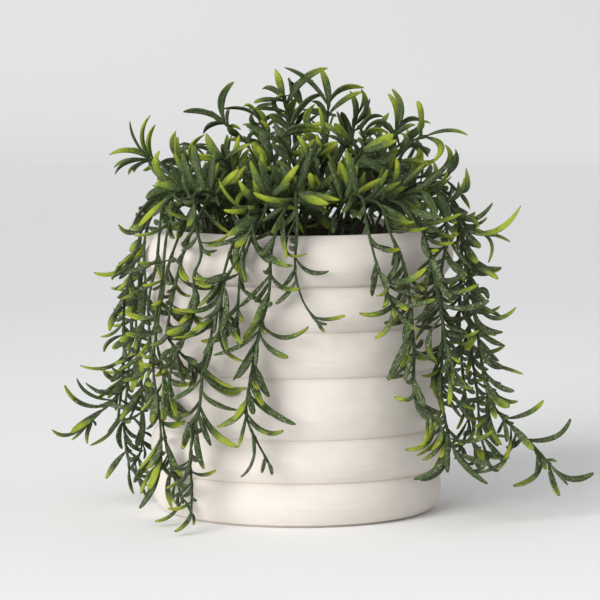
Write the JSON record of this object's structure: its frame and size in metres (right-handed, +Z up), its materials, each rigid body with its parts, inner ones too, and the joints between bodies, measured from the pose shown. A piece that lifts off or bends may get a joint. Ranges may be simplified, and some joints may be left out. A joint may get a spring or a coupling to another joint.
{
  "type": "potted trailing plant",
  "caption": "Trailing plant with small fleshy hooked leaves on thin stems that arch over the rim of a round pot of stacked rounded rings.",
  "frame": {"origin": "centre of the flat underside of the pot, on the surface it stands on", "axes": "+Z up, -Y towards the front of the plant where most stems hang over the rim, +X to the right as seen from the front; the plant is widest along X"},
  "size_m": [0.264, 0.1947, 0.2188],
  "materials": {
    "pot": "matte, unglazed, slightly grainy",
    "soil": "dark, crumbly, damp",
    "foliage": "satin, waxy, dark green turning yellow-green at the tips"
  },
  "bodies": {
    "root": {"pot": "pot", "soil": "soil", "trailing_stem_01": "foliage", "trailing_stem_02": "foliage", "trailing_stem_03": "foliage", "trailing_stem_04": "foliage", "trailing_stem_05": "foliage", "trailing_stem_06": "foliage", "trailing_stem_07": "foliage", "trailing_stem_08": "foliage", "trailing_stem_09": "foliage", "trailing_stem_10": "foliage", "trailing_stem_11": "foliage", "trailing_stem_12": "foliage", "trailing_stem_13": "foliage", "trailing_stem_14": "foliage", "trailing_stem_15": "foliage", "trailing_stem_16": "foliage", "trailing_stem_17": "foliage", "trailing_stem_18": "foliage", "trailing_stem_19": "foliage", "trailing_stem_20": "foliage", "trailing_stem_21": "foliage", "trailing_stem_22": "foliage", "trailing_stem_23": "foliage", "trailing_stem_24": "foliage", "trailing_stem_25": "foliage", "trailing_stem_26": "foliage", "trailing_stem_27": "foliage", "upright_stem_01": "foliage", "upright_stem_02": "foliage", "upright_stem_03": "foliage", "upright_stem_04": "foliage", "upright_stem_05": "foliage", "upright_stem_06": "foliage", "upright_stem_07": "foliage", "upright_stem_08": "foliage", "upright_stem_09": "foliage", "upright_stem_10": "foliage", "upright_stem_11": "foliage", "upright_stem_12": "foliage", "upright_stem_13": "foliage", "upright_stem_14": "foliage", "upright_stem_15": "foliage", "upright_stem_16": "foliage", "upright_stem_17": "foliage", "upright_stem_18": "foliage", "upright_stem_19": "foliage", "upright_stem_20": "foliage", "upright_stem_21": "foliage", "upright_stem_22": "foliage", "upright_stem_23": "foliage", "upright_stem_24": "foliage", "upright_stem_25": "foliage", "upright_stem_26": "foliage", "upright_stem_27": "foliage", "upright_stem_28": "foliage", "upright_stem_29": "foliage"}
  },
  "joints": []
}
